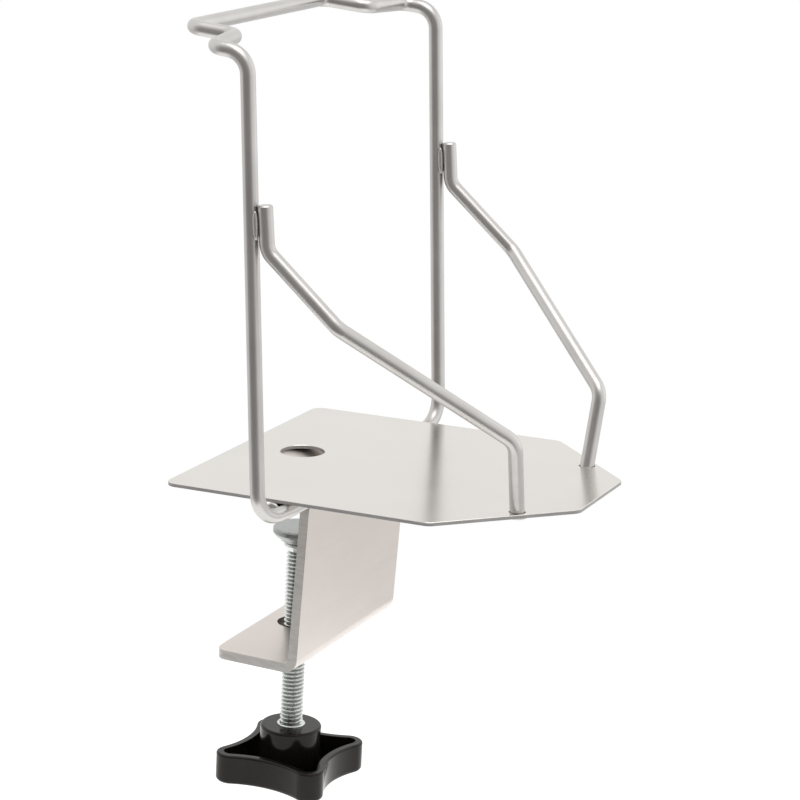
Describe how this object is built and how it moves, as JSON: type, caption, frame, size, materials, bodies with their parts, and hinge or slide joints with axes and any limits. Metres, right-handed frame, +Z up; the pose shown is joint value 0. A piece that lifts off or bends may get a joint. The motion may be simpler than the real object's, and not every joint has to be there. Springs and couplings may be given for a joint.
{
  "type": "clamp-on container holder",
  "caption": "Bent-rod and plate container holder with a stepped back rim, side arms and a screw clamp with swivel pad and lobed knob.",
  "frame": {"origin": "centre of the seat plate's round hole on its top face, where the clamp screw's axis meets it", "axes": "+Z up along the clamp screw's axis, -Y towards the open front of the holder, X across it; the plate and rods lean back 1.8 degrees from square"},
  "size_m": [0.1432, 0.1324, 0.2649],
  "materials": {
    "sheet_steel": "satin, fine polishing grain",
    "rod_steel": "electropolished satin",
    "bracket_steel": "satin with sheared edges",
    "zinc_steel": "bright zinc plated",
    "pad_steel": "dull zinc plated",
    "weld_steel": "cleaned weld bead",
    "knob_plastic": "glossy moulded"
  },
  "bodies": {
    "frame": {"seat_plate": "sheet_steel", "back_frame": "rod_steel", "left_arm": "rod_steel", "right_arm": "rod_steel", "clamp_bracket": "bracket_steel", "weld_nut": "zinc_steel", "arm_top_welds": "weld_steel", "arm_foot_welds": "weld_steel", "tail_welds": "weld_steel", "bracket_welds": "weld_steel", "nut_welds": "weld_steel"},
    "feed": {"pad_collar": "zinc_steel"},
    "screw": {"clamp_screw": "zinc_steel", "knob_insert": "zinc_steel", "knob_body": "knob_plastic"},
    "pad": {"swivel_pad": "pad_steel"}
  },
  "joints": [
    {"name": "screw_feed", "type": "slide", "parent": "frame", "child": "feed", "axis": [0, 0, 1], "range_m": [-0.0261, 0.0171]},
    {"name": "screw_turn", "type": "hinge", "parent": "feed", "child": "screw", "pos_m": [0, 0, -0.07], "axis": [0, 0, 1], "range_deg": [-6630, 4335]},
    {"name": "pad_tilt", "type": "hinge", "parent": "feed", "child": "pad", "pos_m": [0, 0, -0.0295], "axis": [1, 0, 0], "range_deg": [-10, 10]}
  ],
  "couplings": [
    {"joint": "screw_feed", "follows": "screw_turn", "m_per_rad": 0.00022459}
  ]
}
